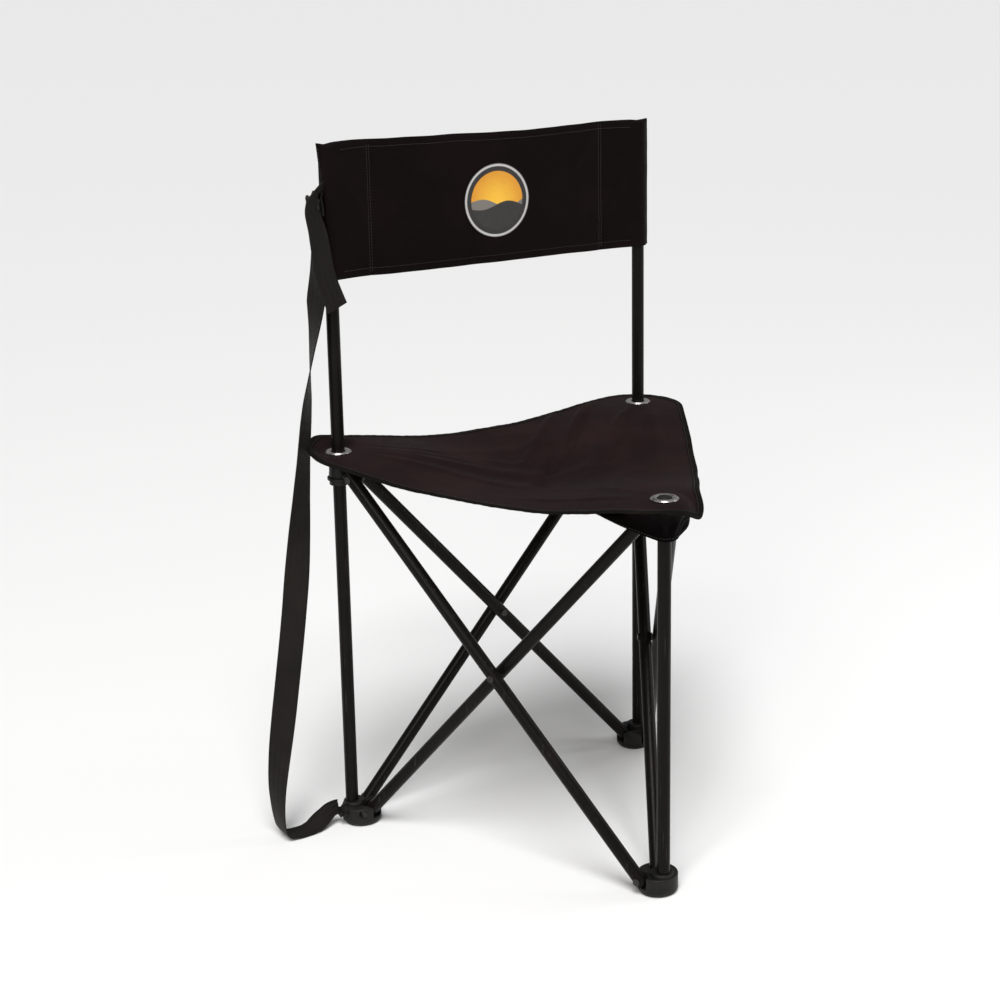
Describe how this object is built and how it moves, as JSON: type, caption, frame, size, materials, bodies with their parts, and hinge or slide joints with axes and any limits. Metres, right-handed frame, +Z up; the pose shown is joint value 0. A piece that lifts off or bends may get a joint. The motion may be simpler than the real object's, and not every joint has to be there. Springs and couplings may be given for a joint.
{
  "type": "three leg stool",
  "caption": "Folding three leg stool with a triangular sling seat, crossed braces on every side, a cloth back on two tall legs and a carry strap.",
  "frame": {"origin": "on the floor, midway between the seat's left and right tips and between its front and rear edges", "axes": "+Z up along the legs, -Y towards the front leg, +X towards the sitter's left hand rear leg, which is on the right in the picture"},
  "size_m": [0.5878, 0.4708, 0.868],
  "materials": {
    "tube_black": "satin black paint on steel tube",
    "hub_plastic": "moulded black plastic",
    "foot_rubber": "dark rubber",
    "rivet_steel": "blackened steel",
    "eyelet_metal": "nickel plate",
    "seat_cloth": "black polyester canvas",
    "back_cloth": "black polyester canvas",
    "webbing": "black webbing",
    "badge_print": "printed patch, grey ring, amber field and plain dark hill"
  },
  "bodies": {
    "frame_left": {"rear_leg_left": "tube_black", "leg_plug_left": "hub_plastic", "foot_hub_left": "hub_plastic", "foot_pad_left": "foot_rubber", "foot_rivets_left": "rivet_steel", "strap": "webbing", "strap_tail": "webbing", "strap_slider": "hub_plastic", "strap_tab": "webbing", "strap_clip": "hub_plastic"},
    "frame_front": {"front_leg": "tube_black", "foot_hub_front": "hub_plastic", "foot_pad_front": "foot_rubber", "foot_rivets_front": "rivet_steel"},
    "frame_right": {"rear_leg_right": "tube_black", "leg_plug_right": "hub_plastic", "foot_hub_right": "hub_plastic", "foot_pad_right": "foot_rubber", "foot_rivets_right": "rivet_steel"},
    "brace_lf_inner": {"brace_left_front_inner": "tube_black"},
    "brace_lf_outer": {"brace_left_front_outer": "tube_black", "mid_rivet_left_front": "rivet_steel"},
    "brace_rl_outer": {"brace_right_left_outer": "tube_black", "mid_rivet_right_left": "rivet_steel"},
    "brace_rl_inner": {"brace_right_left_inner": "tube_black"},
    "brace_fr_inner": {"brace_front_right_inner": "tube_black"},
    "brace_fr_outer": {"brace_front_right_outer": "tube_black", "mid_rivet_front_right": "rivet_steel"},
    "top_left": {"top_hub_left": "hub_plastic", "top_rivets_left": "rivet_steel", "seat_corner_left": "seat_cloth", "eyelet_left": "eyelet_metal"},
    "top_front": {"top_hub_front": "hub_plastic", "top_rivets_front": "rivet_steel", "seat_corner_front": "seat_cloth", "eyelet_front": "eyelet_metal", "front_slide_tube": "tube_black", "front_plug": "hub_plastic", "front_pocket": "seat_cloth"},
    "top_right": {"top_hub_right": "hub_plastic", "top_rivets_right": "rivet_steel", "seat_corner_right": "seat_cloth", "eyelet_right": "eyelet_metal"},
    "seat_left": {"seat_side_left_front": "seat_cloth"},
    "seat_right": {"seat_side_front_right": "seat_cloth"},
    "seat_rear": {"seat_side_right_left": "seat_cloth"},
    "back_left": {"back_left": "back_cloth", "badge": "badge_print"},
    "back_right": {"back_right": "back_cloth"}
  },
  "joints": [
    {"name": "fold", "type": "hinge", "parent": "frame_left", "child": "brace_lf_inner", "pos_m": [-0.20263, 0.16598, 0.0175], "axis": [-0.866, -0.5, 0], "range_deg": [0, 37]},
    {"name": "cross_left", "type": "hinge", "parent": "brace_lf_inner", "child": "brace_lf_outer", "pos_m": [-0.1105, -0.006, 0.2404], "axis": [-0.866, -0.5, 0], "range_deg": [-74, 0]},
    {"name": "front_leg_upright", "type": "hinge", "parent": "brace_lf_outer", "child": "frame_front", "pos_m": [-0.0227, -0.18047, 0.0175], "axis": [-0.866, -0.5, 0], "range_deg": [0, 37]},
    {"name": "hub_front_upright", "type": "hinge", "parent": "brace_lf_inner", "child": "top_front", "pos_m": [-0.00763, -0.17178, 0.4633], "axis": [-0.866, -0.5, 0], "range_deg": [-37, 0]},
    {"name": "hub_left_upright", "type": "hinge", "parent": "brace_lf_outer", "child": "top_left", "pos_m": [-0.2177, 0.15727, 0.4633], "axis": [-0.866, -0.5, 0], "range_deg": [0, 37]},
    {"name": "fold_rear", "type": "hinge", "parent": "frame_left", "child": "brace_rl_outer", "pos_m": [-0.195, 0.19659, 0.0175], "axis": [0, -1, 0], "range_deg": [0, 37]},
    {"name": "cross_rear", "type": "hinge", "parent": "brace_rl_outer", "child": "brace_rl_inner", "pos_m": [0, 0.18539, 0.2404], "axis": [0, -1, 0], "range_deg": [-74, 0]},
    {"name": "right_leg_upright", "type": "hinge", "parent": "brace_rl_inner", "child": "frame_right", "pos_m": [0.195, 0.17919, 0.0175], "axis": [0, -1, 0], "range_deg": [0, 37]},
    {"name": "hub_right_upright", "type": "hinge", "parent": "brace_rl_outer", "child": "top_right", "pos_m": [0.195, 0.19659, 0.4633], "axis": [0, -1, 0], "range_deg": [-37, 0]},
    {"name": "fold_right", "type": "hinge", "parent": "frame_front", "child": "brace_fr_inner", "pos_m": [0.00763, -0.17178, 0.0175], "axis": [0.866, -0.5, 0], "range_deg": [0, 37]},
    {"name": "cross_right", "type": "hinge", "parent": "brace_fr_inner", "child": "brace_fr_outer", "pos_m": [0.1105, -0.006, 0.2404], "axis": [0.866, -0.5, 0], "range_deg": [-74, 0]},
    {"name": "seat_left_fold", "type": "hinge", "parent": "top_left", "child": "seat_left", "pos_m": [-0.23832, 0.17539, 0.4905], "axis": [0.5, -0.866, 0], "range_deg": [0, 71.24], "deforming": ["seat_side_left_front"]},
    {"name": "seat_right_fold", "type": "hinge", "parent": "top_front", "child": "seat_right", "pos_m": [0.01732, -0.20739, 0.4905], "axis": [0.5, 0.866, 0], "range_deg": [0, 71.24], "deforming": ["seat_side_front_right"]},
    {"name": "seat_rear_fold", "type": "hinge", "parent": "top_right", "child": "seat_rear", "pos_m": [0.221, 0.20539, 0.4905], "axis": [-1, 0, 0], "range_deg": [0, 71.24], "deforming": ["seat_side_right_left"]},
    {"name": "back_left_fold", "type": "hinge", "parent": "frame_left", "child": "back_left", "pos_m": [-0.221, 0.18539, 0.786], "axis": [0, 0, 1], "range_deg": [0, 77.56], "deforming": ["back_left", "badge"]},
    {"name": "back_middle_fold", "type": "hinge", "parent": "back_left", "child": "back_right", "pos_m": [0, 0.18539, 0.786], "axis": [0, 0, -1], "range_deg": [0, 155.13], "deforming": ["back_right"]}
  ],
  "couplings": [
    {"joint": "cross_left", "follows": "fold", "ratio": -2},
    {"joint": "front_leg_upright", "follows": "fold", "ratio": 1},
    {"joint": "hub_front_upright", "follows": "fold", "ratio": -1},
    {"joint": "hub_left_upright", "follows": "fold", "ratio": 1},
    {"joint": "fold_rear", "follows": "fold", "ratio": 1},
    {"joint": "cross_rear", "follows": "fold", "ratio": -2},
    {"joint": "right_leg_upright", "follows": "fold", "ratio": 1},
    {"joint": "hub_right_upright", "follows": "fold", "ratio": -1},
    {"joint": "fold_right", "follows": "fold", "ratio": 1},
    {"joint": "cross_right", "follows": "fold", "ratio": -2},
    {"joint": "seat_left_fold", "follows": "fold", "ratio": 1.9253},
    {"joint": "seat_right_fold", "follows": "fold", "ratio": 1.9253},
    {"joint": "seat_rear_fold", "follows": "fold", "ratio": 1.9253},
    {"joint": "back_left_fold", "follows": "fold", "ratio": 2.0963},
    {"joint": "back_middle_fold", "follows": "fold", "ratio": 4.1927}
  ]
}
